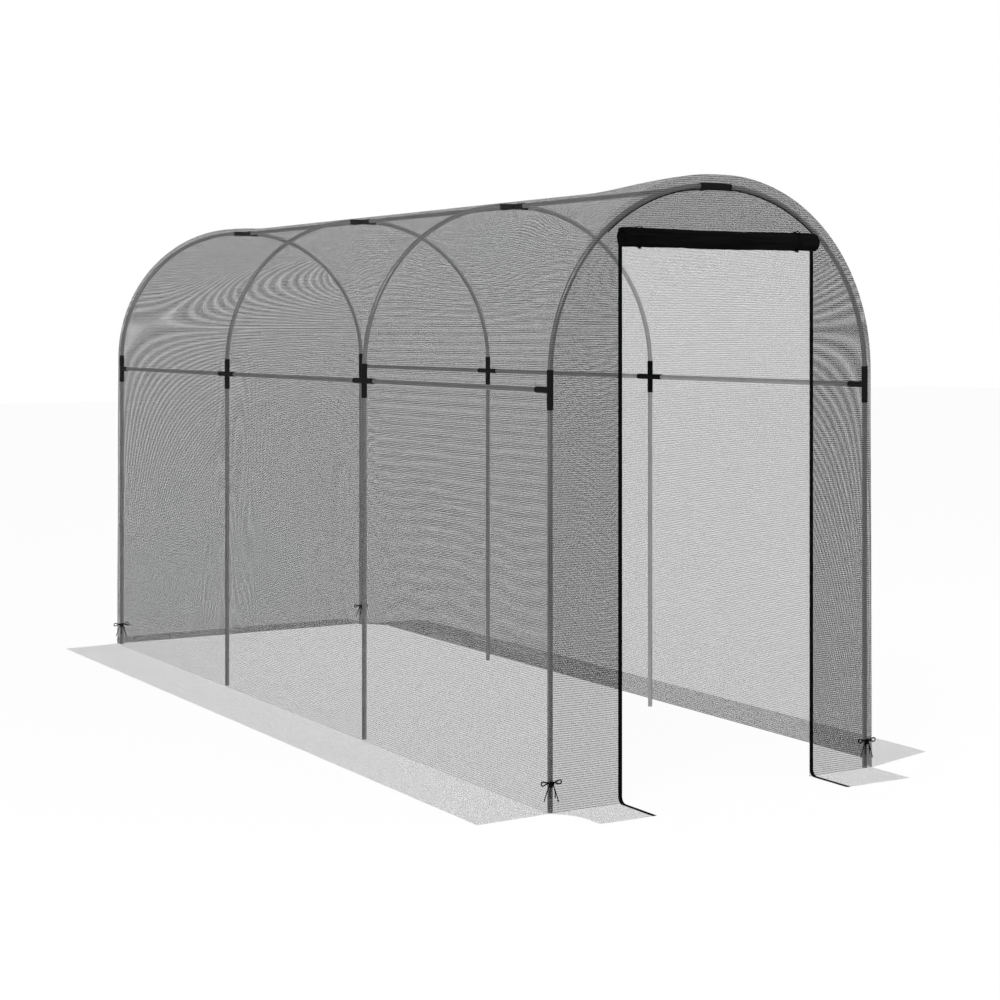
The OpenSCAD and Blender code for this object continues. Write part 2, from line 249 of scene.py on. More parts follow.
def make_net(name, cover, row_extra):
    """Woven net: fine square mesh whose every third weft thread is thicker, see-through between threads.

    cover is the width of a thread as a share of the mesh's pitch, row_extra what the thick rows add to it.
    """
    f = Finish(name)
    along, up = f.cloth()
    warp = ((along / MESH_PITCH).part() - 0.5).size() * 2
    weft = ((up / MESH_PITCH).part() - 0.5).size() * 2
    rows = ((up / (THICK_EVERY * MESH_PITCH)).part() - 0.5).size() * 2
    threads = (warp < cover).most(weft < cover)
    threads = threads.most(rows < (cover + row_extra) / THICK_EVERY)
    fleck = f.noise(420.0, 2.0)
    dark, light = shade(0.004, (0.97, 1.0, 0.98)), shade(0.012, (0.98, 1.0, 0.99))
    colour = f.ramp(fleck, (0.3, dark), (0.75, light))
    twist = (along * (TURN / 0.0011) + up * (TURN / 0.0016)).sine()
    return f.done(Base_Color=colour, Roughness=0.62, Specular_IOR_Level=0.08, Alpha=threads,
                  Normal=f.bump(twist, 0.3, 0.0002))


def make_tape():
    """Black woven binding tape: fine ribs across, a stitched line near each edge."""
    f = Finish("tape_finish")
    across, along = f.cloth()
    ribs = (along * (TURN / 0.0012)).sine()
    stitch_line = ((across.size() - 0.0052).size() < 0.0004)
    stitch = stitch_line * ((along / 0.004).part() < 0.7)
    colour = f.mix(stitch, grey(0.0016), grey(0.006))
    colour = f.mix(f.noise(300.0) * 0.4, colour, grey(0.003))
    height = ribs * 0.25 + stitch
    return f.done(Base_Color=colour, Roughness=0.7, Specular_IOR_Level=0.02,
                  Normal=f.bump(height, 0.5, 0.0003))


def make_rolled_net():
    """Many layers of black net wound tight: dense fine mesh, soft streaks along the roll."""
    f = Finish("rolled_net_finish")
    along, around = f.cloth()
    mesh = (along * (TURN / 0.0020)).sine() * (around * (TURN / 0.0020)).sine()
    stretched = f.node("ShaderNodeMapping", {}, {"Vector": f.place(), "Scale": (4.0, 60.0, 60.0)})
    streak = f.noise(1.0, 4.0, 0.6, where=stretched)
    colour = f.ramp(streak, (0.35, shade(0.0012)), (0.65, shade(0.0045)))
    colour = f.mix(mesh.most(0.0) * 0.35, colour, grey(0.007))
    return f.done(Base_Color=colour, Roughness=0.8, Specular_IOR_Level=0.02,
                  Normal=f.bump(mesh * 0.3 + streak, 0.55, 0.0010))


def make_cord():
    """Black braided cord: two sets of strands crossing round it."""
    f = Finish("cord_finish")
    around, along = f.cloth()
    one = (around * (TURN / 0.0024) + along * (TURN / 0.0030)).sine()
    other = (around * (TURN / 0.0024) - along * (TURN / 0.0030)).sine()
    braid = one.most(other)
    colour = f.mix(braid.most(0.0) * 0.5, grey(0.0015), grey(0.006))
    return f.done(Base_Color=colour, Roughness=0.65, Specular_IOR_Level=0.03,
                  Normal=f.bump(braid, 0.5, 0.0004))


FLOOR_WHITE = 0.94  # share of plain white that the camera sees on the floor; the rest keeps the shadow


def make_floor():
    """White studio floor: seen directly it is near white but keeps part of the object's shadow."""
    f = Finish("floor_finish")
    path = f.node("ShaderNodeLightPath", out="Is Camera Ray")
    glossy = f.node("ShaderNodeLightPath", out="Is Glossy Ray")
    clear = f.node("ShaderNodeLightPath", out="Is Transmission Ray")
    cast = f.node("ShaderNodeBsdfDiffuse", {}, {"Color": grey(0.9)})
    glow = f.node("ShaderNodeEmission", {}, {"Color": grey(1.0), "Strength": 1.0})
    seen = path.most(glossy).most(clear) * FLOOR_WHITE
    mixed = f.node("ShaderNodeMixShader", {}, [seen, cast, glow])
    f.node("ShaderNodeOutputMaterial", {}, {"Surface": mixed})
    return f.material


STEEL = make_steel()
CONNECTOR = make_connector()
NET = make_net("net_finish", 0.216, 0.27)
FRONT_NET = make_net("front_net_finish", 0.245, 0.40)
SKIRT_NET = make_net("skirt_net_finish", 0.185, 0.06)
TAPE = make_tape()
ROLLED_NET = make_rolled_net()
CORD = make_cord()


# ---------------------------------------------------------------- making meshes from arrays

def new_mesh(name, points, faces, uv, material, smooth=True):
    """A mesh object from vertex places (n, 3), quads (m, 4) and each vertex's place on the cloth (n, 2)."""
    mesh = bpy.data.meshes.new(name)
    mesh.vertices.add(len(points))
    mesh.vertices.foreach_set("co", np.ascontiguousarray(points, np.float32).ravel())
    mesh.loops.add(faces.size)
    mesh.loops.foreach_set("vertex_index", np.ascontiguousarray(faces, np.int32).ravel())
    mesh.polygons.add(len(faces))
    mesh.polygons.foreach_set("loop_start", np.arange(0, faces.size, 4, dtype=np.int32))
    mesh.update(calc_edges=True)
    layer = mesh.uv_layers.new(name="cloth")
    layer.data.foreach_set("uv", np.ascontiguousarray(uv[faces.ravel()], np.float32).ravel())
    mesh.polygons.foreach_set("use_smooth", np.full(len(faces), smooth))
    mesh.validate()
    mesh.materials.append(material)
    piece = bpy.data.objects.new(name, mesh)
    bpy.context.scene.collection.objects.link(piece)
    return piece


def grid_faces(rows, cols, round_rows=False, round_cols=False):
    """Quads of a grid of points, row by row; round closes the rows or the columns on themselves."""
    i = np.arange(rows if round_rows else rows - 1)[:, None]
    j = np.arange(cols if round_cols else cols - 1)[None, :]
    down, right = (i + 1) % rows, (j + 1) % cols
    quads = np.stack([i * cols + j, i * cols + right, down * cols + right, down * cols + j], -1)
    return quads.reshape(-1, 4)


def lay_sheet(name, points, uv, material, flip=False):
    """A single thickness of net over a grid of points (rows, cols, 3) with its cloth distances (rows, cols, 2)."""
    rows, cols = points.shape[:2]
    faces = grid_faces(rows, cols)
    if flip:
        faces = faces[:, ::-1]
    return new_mesh(name, points.reshape(-1, 3), faces, uv.reshape(-1, 2), material)


def mesh_area(piece):
    """Area of a piece's faces, in square metres."""
    areas = np.zeros(len(piece.data.polygons))
    piece.data.polygons.foreach_get("area", areas)
    return float(areas.sum())


def smooth_line(points, per_gap):
    """A smooth line through the given points: on each gap, the cubic that leaves each point along the line
    between its neighbours."""
    p = np.asarray(points, float)
    padded = np.vstack([2 * p[0] - p[1], p, 2 * p[-1] - p[-2]])
    t = np.arange(per_gap)[:, None, None] / per_gap
    a, b, c, d = padded[:-3], padded[1:-2], padded[2:-1], padded[3:]
    line = 0.5 * (2 * b + (c - a) * t + (2 * a - 5 * b + 4 * c - d) * t ** 2
                  + (3 * b - a - 3 * c + d) * t ** 3)
    return np.vstack([line.transpose(1, 0, 2).reshape(-1, 3), p[-1:]])


def line_frames(line, closed=False):
    """For each point of a line, its direction and two directions across it that turn with it."""
    if closed:
        along = np.roll(line, -1, 0) - np.roll(line, 1, 0)
    else:
        along = np.gradient(line, axis=0)
    along /= np.linalg.norm(along, axis=1)[:, None]
    across = np.zeros_like(line)
    start = np.array([0.0, 0.0, 1.0]) if abs(along[0][2]) < 0.9 else np.array([0.0, 1.0, 0.0])
    for i, d in enumerate(along):
        start = start - (start @ d) * d
        start /= np.linalg.norm(start)
        across[i] = start
    return along, across, np.cross(along, across)


def sweep_tube(name, line, radius, material, sides=10, closed=False):
    """A round cord along a line: a circle of the radius carried along it, its ends drawn in to a dome."""
    line = np.asarray(line, float)
    radii = np.full(len(line), radius)
    along, u, v = line_frames(line, closed)
    if not closed:
        ease = np.array([0.0, 0.55, 0.85, 1.0])
        reach = np.array([0.0, 0.17, 0.47, 1.0])
        first = line[0] - along[0] * radii[0] * (1 - reach[:, None]) * 0.9
        last = line[-1] + along[-1] * radii[-1] * (1 - reach[::-1, None]) * 0.9
        line = np.vstack([first, line[1:-1], last])
        radii = np.concatenate([radii[0] * ease, radii[1:-1], radii[-1] * ease[::-1]])
        u = np.vstack([np.repeat(u[:1], 4, 0), u[1:-1], np.repeat(u[-1:], 4, 0)])
        v = np.vstack([np.repeat(v[:1], 4, 0), v[1:-1], np.repeat(v[-1:], 4, 0)])
    angle = np.arange(sides) / sides * 2 * math.pi
    ring = np.cos(angle)[None, :, None] * u[:, None] + np.sin(angle)[None, :, None] * v[:, None]
    points = line[:, None] + radii[:, None, None] * ring
    length = np.concatenate([[0], np.cumsum(np.linalg.norm(np.diff(line, axis=0), axis=1))])
    uv = np.stack(np.broadcast_arrays((angle * radius)[None, :], length[:, None]), -1)
    faces = grid_faces(len(line), sides, round_rows=closed, round_cols=True)
    piece = new_mesh(name, points.reshape(-1, 3), faces[:, ::-1], uv.reshape(-1, 2), material)
    if not closed:
        weld(piece)
    return piece


def weld(piece, distance=1e-6):
    """Merges points that lie on each other, such as the rings that close an end."""
    shell = bmesh.new()
    shell.from_mesh(piece.data)
    bmesh.ops.remove_doubles(shell, verts=shell.verts, dist=distance)
    bmesh.ops.recalc_face_normals(shell, faces=shell.faces)
    shell.to_mesh(piece.data)
    shell.free()


def fade(t):
    """Falls smoothly from 1 at 0 to 0 at 1 and beyond."""
    return 0.5 + 0.5 * np.cos(math.pi * np.clip(t, 0, 1))


def rides(piece, slot, *replaced):
    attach(piece, ROOT)
    if replaced:
        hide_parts(*replaced)


# ---------------------------------------------------------------- camera

camera_data = bpy.data.cameras.new("camera")
camera_data.sensor_width = 36.0
camera_data.lens = 72.257
camera_data.shift_y = -0.172
camera_data.clip_end = 200.0
camera = bpy.data.objects.new("camera", camera_data)
camera.location = (-3.7015, -6.7399, 1.4041)
camera.rotation_euler = (math.radians(90), 0.0, math.radians(-30.467))
bpy.context.scene.collection.objects.link(camera)
bpy.context.scene.camera = camera


# ---------------------------------------------------------------- corner ties

TIE_Z = 0.086
TIE_ROUTE = [
    [-7, -12.6, -40], [-8, -12.6, -34], [-8.2, -12.5, -27], [-7.6, -12.2, -20], [-6.2, -11.8, -13.5],
    [-4, -11, -8], [-1, -10.3, -3.5], [2.5, -10, -1], [5.6, -8.8, 0.5], [8.8, -5.2, 0.5], [10.2, 0, 0.5],
    [8.8, 5.1, 0.5], [5.1, 8.8, 0.5], [0, 10.2, 0.5], [-5.1, 8.8, 0.5], [-8.8, 5.1, 0.5], [-10.2, 0, 0.5],
    [-9, -5.4, 0.5], [-6.6, -9.8, 0.5], [-3, -12.7, 0], [0.8, -13.3, -2.5], [4, -13.2, -7], [6.4, -12.9, -13],
    [8, -12.6, -20], [9, -12.6, -27], [9.4, -12.6, -34], [9.6, -12.6, -42]
]


NET_FACE = FRONT_Y - HOOP_Y[0]  # the front net, from the front posts' centres
REAR_FACE = -0.0121  # the front of the cord round a rear post, from the post's centre
BOW_X = -0.008
BOW_CORD_R = CORD_R * 1.35
KNOT_CORD_R = CORD_R * 1.7
TAILS = ((-1, 0.017, 0.043, "a"), (1, 0.017, 0.048, "b"))  # side, spread, drop, tag


def bow_loop(side, face):
    """One loop of the bow, lying on the outer face: a flat drop-shaped ring that leaves the knot and comes
    back to it."""
    t = np.linspace(0, 1, 41)
    reach = np.sin(math.pi * t) ** 0.8
    x = BOW_X + side * (0.006 + 0.028 * reach)
    z = 0.0042 + 0.0066 * np.sin(2 * math.pi * t) * (0.35 + 0.65 * reach)
    y = face - 0.0030 + 0.0006 * np.cos(2 * math.pi * t)
    return np.stack([x, y, z], 1)


def make_corner_tie(name, x, y, face):
    """A cord round the post at its foot, whose two ends hang close to the post. On the face in front of it lie
    a knot, a bow's two loops and two spread tails, the right one with a small knot at its end."""
    base = np.array([x, y, TIE_Z])
    route = base + smooth_line(np.array(TIE_ROUTE) / 1000, 4)
    cord = sweep_tube(name + "_cord", route, CORD_R, CORD, sides=10)
    rides(cord, "cord", name)
    extras = []
    for side, tag in ((-1, "a"), (1, "b")):
        loop = sweep_tube(f"{name}_loop_{tag}", base + bow_loop(side, face), BOW_CORD_R, CORD, sides=8)
        extras.append(loop)
    turn = np.linspace(0, 2 * math.pi, 120)[:-1]
    wrap = np.stack([BOW_X + 0.0078 * np.cos(turn * 2.0), face - 0.0022 - 0.0022 * np.sin(turn * 5.0),
                     -0.0004 + 0.0066 * np.sin(turn * 3.0)], 1)
    extras.append(sweep_tube(f"{name}_knot", base + wrap, KNOT_CORD_R, CORD, sides=8, closed=True))
    for side, spread, drop, tag in TAILS:
        down = np.linspace(0, 1, 14)
        tail = np.stack([BOW_X + side * (0.007 + spread * down ** 0.9), face - 0.0030 + 0 * down,
                         -0.003 - drop * down], 1)
        extras.append(sweep_tube(f"{name}_tail_{tag}", base + tail, CORD_R, CORD, sides=8))
    end = base + tail[-1]
    small = np.stack([0.0016 * np.cos(turn), 0.0011 * np.sin(turn), 0.0010 * np.sin(2 * turn)], 1)
    extras.append(sweep_tube(f"{name}_end_knot", end + small, CORD_R * 0.8, CORD, sides=8, closed=True))
    for piece in extras:
        rides(piece, "cord")


make_corner_tie("tie_front_left", POST_L, HOOP_Y[0], NET_FACE)
make_corner_tie("tie_front_right", POST_R, HOOP_Y[0], NET_FACE)
make_corner_tie("tie_rear_left", POST_L, HOOP_Y[-1], REAR_FACE)
make_corner_tie("tie_rear_right", POST_R, HOOP_Y[-1], REAR_FACE)


# ---------------------------------------------------------------- net cover

WALL_ROWS = 36
ARC_ROWS = 40
LENGTH_COLS = 182
ROOF_SAG = 0.007
WALL_SAG = 0.005


def foot_out(side, y):
    """How far the side net's foot lies beyond its posts: the loose foot, gathered back to both corner posts."""
    full = FOOT_L if side < 0 else FOOT_R
    from_corner = np.minimum(y - FRONT_Y, REAR_Y - y)
    return full - (full - CORNER_OUT) * fade(from_corner / GATHER)


def roof_lift(y):
    """How far the roof stands above its seat along the length: raised at both ends, settling onto the hoops."""
    return FRONT_LIFT * fade((y - FRONT_Y) / FRONT_SETTLE) + REAR_LIFT * fade((REAR_Y - y) / REAR_SETTLE)


def roof_section(side, angle, y):
    """Place across and up of the roof at an angle above the bend line: a circle about the bend's centre that
    grows with the sine of the angle where the roof is raised."""
    reach = BEND_R + NET_OFF + roof_lift(y) * np.sin(angle) ** 1.5
    return MID_X + side * (CROWN_FLAT + reach * np.cos(angle)), BEND_Z + reach * np.sin(angle)


def bay_share(y):
    """Where a place lies within its bay: 0 at a hoop, 1 half-way to the next."""
    t = (y - HOOP_Y[0]) / (HOOP_Y[-1] - HOOP_Y[0]) * BAYS
    return np.where((t < 0) | (t > BAYS), 0.0, np.sin(math.pi * (t % 1.0)) ** 2)


def cover_side(side):
    """Half of the cover: from the foot straight up to the bend line, then round the bend to the crown.
    Between hoops the wall leans in and the roof sags by the square of a sine."""
    y = np.linspace(FRONT_Y, REAR_Y, LENGTH_COLS)[None, :]
    up = np.linspace(0, 1, WALL_ROWS)[:, None]
    post = POST_L if side < 0 else POST_R
    out = foot_out(side, y) * (1 - up) + NET_OFF * up
    wall_z = GROUND_NET + up * (BEND_Z - GROUND_NET) + 0 * y
    below_rail = np.clip(wall_z / SHOULDER_Z, 0, 1)
    ripple = 0.0016 * np.sin(y * 21 + side) * np.sin(wall_z * 7 + 2 * y) * np.sin(math.pi * below_rail)
    lean = WALL_SAG * bay_share(y) * np.sin(math.pi * below_rail) ** 2
    wall_x = post + side * (out - lean + ripple)
    angle = np.linspace(0, math.pi / 2, ARC_ROWS + 1)[1:, None]
    roof_x, roof_z = roof_section(side, angle, y)
    sag = ROOF_SAG * bay_share(y) * np.sin(2 * angle) ** 2
    roof_x = roof_x - side * sag * np.cos(angle)
    roof_z = roof_z - sag * np.sin(angle)
    x = np.vstack([wall_x, roof_x])
    z = np.vstack([wall_z, roof_z])
    return np.stack([x, np.broadcast_to(y, x.shape), z], -1)


def cloth_distances(points):
    """Distances along the cloth of a grid laid on the cover: along the length, and up from the first row."""
    steps = np.linalg.norm(np.diff(points, axis=0), axis=2).mean(1)
    up = np.concatenate([[0.0], np.cumsum(steps)])
    return np.stack([points[..., 1], np.broadcast_to(up[:, None], points.shape[:2])], -1)


def make_main_net():
    """The long sheet over both walls and the roof, in one piece from foot to foot."""
    left, right = cover_side(-1), cover_side(1)
    points = np.vstack([left, right[::-1]])
    uv = cloth_distances(points)
    piece = lay_sheet("cover_net", points, uv, NET, flip=True)
    rides(piece, "net", "side_net_left", "side_net_right", "roof_net_left", "roof_net_right")


def end_edge(y, steps_up=30, steps_round=44):
    """The edge of an end net: up the left wall, over the roof and down the right wall, as places across and up."""
    def half(side):
        post = POST_L if side < 0 else POST_R
        up = np.linspace(0, 1, steps_up)
        wall = np.stack([post + side * (CORNER_OUT * (1 - up) + NET_OFF * up),
                         GROUND_NET + up * (BEND_Z - GROUND_NET)], 1)
        angle = np.linspace(0, math.pi / 2, steps_round + 1)[1:]
        return np.vstack([wall, np.stack(roof_section(side, angle, y), 1)])
    return np.vstack([half(-1), half(1)[::-1]])


def make_front_net():
    """The front net as one sheet round the doorway: every point lies between the doorway's edge and the arch."""
    outer = end_edge(FRONT_Y)
    place = outer.copy()
    corner_angle = math.atan2(DOOR_TOP - BEND_Z, MID_X - CROWN_FLAT - DOOR_L)
    corner_z = BEND_Z + (BEND_R + NET_OFF) * math.sin(corner_angle)
    half = len(outer) // 2
    for side, rows in ((-1, slice(0, half)), (1, slice(half, None))):
        x, z = outer[rows, 0], outer[rows, 1]
        edge = DOOR_L if side < 0 else DOOR_R
        beside = z <= corner_z
        reach = np.abs(x - MID_X) / max(np.abs(x[~beside] - MID_X).max(), 1e-9)
        place[rows, 0] = np.where(beside, edge, MID_X + (edge - MID_X) * np.clip(reach, 0, 1))
        place[rows, 1] = np.where(beside, GROUND_NET + (z - GROUND_NET) / (corner_z - GROUND_NET)
                                  * (DOOR_TOP - GROUND_NET), DOOR_TOP)
    share = np.linspace(0, 1, 22)[None, :, None]
    flat = outer[:, None] * (1 - share) + place[:, None] * share
    billow = 0.0016 * np.sin(flat[..., 0] * 17 + 1) * np.sin(flat[..., 1] * 6) * np.sin(math.pi * share[..., 0])
    points = np.stack([flat[..., 0], FRONT_Y + billow, flat[..., 1]], -1)
    piece = lay_sheet("front_net", points, flat, FRONT_NET)
    rides(piece, "net", "front_net_left", "front_net_right", "front_net_top")
    mesh_area(piece)


def make_rear_net():
    """The rear net: each row runs straight across between the two sides of the arch."""
    edge = end_edge(REAR_Y)
    half = len(edge) // 2
    left, right = edge[:half], edge[half:][::-1]
    share = np.linspace(0, 1, 60)[None, :, None]
    flat = left[:, None] * (1 - share) + right[:, None] * share
    billow = 0.004 * np.sin(math.pi * share[..., 0]) * np.sin(flat[..., 1] * 5) * np.sin(flat[..., 0] * 4)
    points = np.stack([flat[..., 0], REAR_Y + billow * 0.5, flat[..., 1]], -1)
    piece = lay_sheet("rear_cover_net", points, flat, NET, flip=True)
    rides(piece, "net", "rear_net")
    mesh_area(piece)


# ---------------------------------------------------------------- ground skirts

def skirt_sheet(name, inner, outer, replaced, seed, tuck=0.0):
    """A skirt between its sewn edge and its free edge, lying on the ground in low ripples that the square of
    its width share raises towards the free edge. Tuck draws its left end in by a sine of that share."""
    rng = np.random.default_rng(seed)
    share = np.linspace(0, 1, 16)[:, None, None]
    flat = inner[None] * (1 - share) + outer[None] * share
    from_end = flat[..., 0] - flat[:, :1, 0]
    flat[..., 0] += tuck * np.sin(math.pi * share[..., 0] ** 0.75) ** 1.3 * fade(from_end / (8 * tuck + 1e-9))
    wave = np.zeros(flat.shape[:2])
    for pitch in (0.31, 0.17, 0.11):
        phase, slope = rng.uniform(0, 6.3), rng.uniform(-0.4, 0.4)
        along = flat[..., 0] * (1 if np.ptp(inner[:, 0]) > np.ptp(inner[:, 1]) else slope)
        along = along + flat[..., 1] * (slope if np.ptp(inner[:, 0]) > np.ptp(inner[:, 1]) else 1)
        wave += np.sin(along * 2 * math.pi / pitch + phase) * pitch
    wave = 0.5 + 0.5 * wave / 0.59
    height = GROUND_NET + 0.0009 * wave * share[..., 0] ** 2
    points = np.concatenate([flat, height[..., None]], -1)
    piece = lay_sheet(name, points, flat, SKIRT_NET)
    if piece.data.polygons[0].normal.z < 0:
        piece.data.flip_normals()
    rides(piece, "net", *replaced)
    mesh_area(piece)


def edge_line(start, end, count):
    share = np.linspace(0, 1, count)[:, None]
    return np.array(start) * (1 - share) + np.array(end) * share


def make_side_skirt(side):
    """A side skirt from the wall's foot out to its straight free edge, its ends drawn in to the corners."""
    name = "skirt_left" if side < 0 else "skirt_right"
    low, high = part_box(name)
    y = np.linspace(FRONT_Y, REAR_Y, 150)
    post = POST_L if side < 0 else POST_R
    inner = np.stack([post + side * foot_out(side, y), y], 1)
    far = float(low[0] if side < 0 else high[0])
    front = HOOP_Y[0] + (-0.027 if side < 0 else 0.076)
    rear = HOOP_Y[-1] - (0.009 if side < 0 else 0.040)
    outer = edge_line((far, front), (far, rear), len(y))
    return skirt_sheet(name + "_net", inner, outer, [name], 11 + side)


def make_front_skirts():
    """The two short skirts in front, beside the doorway."""
    low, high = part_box("skirt_front")
    out_y = float(low[1])
    left = (edge_line((POST_L - CORNER_OUT, FRONT_Y), (DOOR_L, FRONT_Y), 30),
            edge_line((POST_L + 0.047, out_y), (DOOR_L, out_y), 30))
    right = (edge_line((DOOR_R, FRONT_Y), (POST_R + CORNER_OUT, FRONT_Y), 30),
             edge_line((DOOR_R, out_y), (POST_R + 0.019, out_y), 30))
    skirt_sheet("skirt_front_left_net", *left, ["skirt_front"], 21, tuck=0.031)
    skirt_sheet("skirt_front_right_net", *right, ["skirt_front"], 22)


def make_rear_skirt():
    low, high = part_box("skirt_rear")
    out_y = float(high[1])
    inner = edge_line((POST_L - CORNER_OUT, REAR_Y), (POST_R + CORNER_OUT, REAR_Y), 90)
    outer = edge_line((POST_L + 0.047, out_y), (POST_R + 0.019, out_y), 90)
    skirt_sheet("skirt_rear_net", inner, outer, ["skirt_rear"], 31)


make_main_net()
make_front_net()
make_rear_net()
make_side_skirt(-1)
make_side_skirt(1)
make_front_skirts()
make_rear_skirt()


# ---------------------------------------------------------------- doorway trim

def make_door_tape(side):
    """Binding tape down the doorway's edge, round a small bend at the ground and out over the skirt: a flat
    rounded section carried along that line."""
    name = "door_tape_left" if side < 0 else "door_tape_right"
    x = DOOR_L - TAPE_W / 2 if side < 0 else DOOR_R + TAPE_W / 2
    floor_z = float(TAPE_LOW[2]) + TAPE_T / 2
    bend = 0.020
    down = edge_line((TAPE_Y, DOOR_TOP), (TAPE_Y, floor_z + bend), 120)
    turn = np.linspace(0, math.pi / 2, 12)[1:]
    curve = np.stack([TAPE_Y - bend + bend * np.cos(turn), floor_z + bend - bend * np.sin(turn)], 1)
    out = edge_line((TAPE_Y - bend, floor_z), (float(TAPE_LOW[1]) + 0.0005, floor_z), 30)[1:]
    line = np.vstack([down, curve, out])
    length = np.concatenate([[0], np.cumsum(np.linalg.norm(np.diff(line, axis=0), axis=1))])
    along = np.gradient(line, axis=0)
    along /= np.linalg.norm(along, axis=1)[:, None]
    away = np.stack([along[:, 1], -along[:, 0]], 1)
    angle = np.arange(28) / 28 * 2 * math.pi
    flat = np.sign(np.cos(angle)) * np.abs(np.cos(angle)) ** 0.35 * TAPE_W / 2
    thick = np.sign(np.sin(angle)) * np.abs(np.sin(angle)) ** 0.7 * TAPE_T / 2
    thick = thick * (0.75 + 0.25 * np.cos(flat / TAPE_W * 4 * math.pi))
    points = np.zeros((len(line), 28, 3))
    points[..., 0] = x + flat
    points[..., 1] = line[:, None, 0] + away[:, None, 0] * thick
    points[..., 2] = line[:, None, 1] + away[:, None, 1] * thick
    ends = points[[0, -1]].mean(1, keepdims=True).repeat(28, 1)
    points = np.concatenate([ends[:1], points, ends[1:]])
    length = np.concatenate([length[:1], length, length[-1:]])
    uv = np.stack(np.broadcast_arrays(flat[None, :], length[:, None]), -1)
    faces = grid_faces(len(points), 28, round_cols=True)
    piece = new_mesh(name, points.reshape(-1, 3), faces, uv.reshape(-1, 2), TAPE)
    weld(piece)
    rides(piece, "tape", "door_tapes")


def make_rolled_door():
    """The door net rolled up: a long roll whose radius wanders, is nipped in at the two ties, steps down at the
    free edge of the last turn and winds in to its middle at both ends."""
    left, right = float(ROLL_LOW[0]), float(ROLL_HIGH[0])
    around = 72
    body = np.linspace(0, 1, 230)
    length = right - left
    cap = 14
    turns = np.linspace(0, 1, cap)
    left_cap = np.stack([left + 0.0035 + 0.0035 * np.sin(turns * 5 * math.pi) * (1 - turns) - 0.0035 * turns ** 3,
                         turns * 0.97], 1)
    dome = turns[::-1] * math.pi / 2
    right_cap = np.stack([right - 0.013 + 0.013 * np.cos(np.arcsin(np.sin(dome))), np.sin(dome)], 1)
    x = np.concatenate([left_cap[:-1, 0], left + 0.001 + body * (length - 0.014), right_cap[1:, 0]])
    share = np.concatenate([left_cap[:-1, 1], np.ones(len(body)), right_cap[1:, 1]])
    angle = (np.arange(around) / around * 2 * math.pi)[None, :]
    rng = np.random.default_rng(5)
    lump = np.zeros((len(x), around))
    for pitch, twist, size in ((0.52, 1, 0.034), (0.27, 2, 0.026), (0.16, 1, 0.020), (0.09, 3, 0.012),
                               (0.045, 4, 0.007)):
        phase = rng.uniform(0, 2 * math.pi, 2)
        lump += size * np.sin(x[:, None] * 2 * math.pi / pitch + phase[0]) * np.cos(twist * angle + phase[1])
    folds = 0.008 * np.sin(11 * angle + 2.5 * np.sin(x[:, None] * 9) + 1)
    turn = (angle + 0.35 * np.sin(x[:, None] * 7) + 2.2) % (2 * math.pi) / (2 * math.pi)
    layer = 0.045 * (1 - turn) * np.where(turn < 0.03, turn / 0.03, 1.0)
    nip = np.zeros(len(x))
    for tie_x in TIE_XS:
        nip += 0.055 * np.exp(-((x - tie_x) / 0.009) ** 2)
    radius = ROLL_R * share[:, None] * (0.950 + lump + folds + layer - nip[:, None])
    thick_end = 0.09 * fade((x - left) / 0.25)[:, None] * np.clip(np.sin(angle), 0, 1)
    radius = radius + ROLL_R * share[:, None] * thick_end
    most = ROLL_R * np.where(np.cos(angle) > 0.4, 0.995, 1.035 + thick_end)
    radius = np.minimum(radius, most)
    points = np.stack([np.broadcast_to(x[:, None], radius.shape), ROLL_Y + radius * np.cos(angle),
                       ROLL_Z + radius * np.sin(angle)], -1)
    uv = np.stack(np.broadcast_arrays(x[:, None], angle * ROLL_R), -1)
    faces = grid_faces(len(x), around, round_cols=True)
    piece = new_mesh("rolled_door_net", points.reshape(-1, 3), faces, uv.reshape(-1, 2), ROLLED_NET)
    weld(piece)
    rides(piece, "rolled_net", "rolled_door")


def make_roll_neck():
    """The stretch of door net between the doorway's top edge and the roll: it drops behind the roll and turns
    in under it."""
    along = np.linspace(DOOR_L + 0.001, DOOR_R - 0.001, 60)
    start = np.array([FRONT_Y, DOOR_TOP + 0.001])
    turn = np.linspace(0.0, -0.5, 8)
    wrap = np.stack([ROLL_Y + (ROLL_R + 0.0005) * np.cos(turn), ROLL_Z + (ROLL_R + 0.0005) * np.sin(turn)], 1)
    line = np.vstack([start, [FRONT_Y + 0.0002, DOOR_TOP - 0.012], wrap])
    points = np.zeros((len(line), len(along), 3))
    points[..., 0] = along
    points[..., 1] = line[:, None, 0]
    points[..., 2] = line[:, None, 1]
    points[2:, :, 1] = np.minimum(points[2:, :, 1], FRONT_Y + 0.001)
    length = np.concatenate([[0], np.cumsum(np.linalg.norm(np.diff(line, axis=0), axis=1))])
    uv = np.stack(np.broadcast_arrays(along[None, :], length[:, None]), -1)
    piece = lay_sheet("door_net_neck", points, uv, NET)
    rides(piece, "net", "rolled_door")


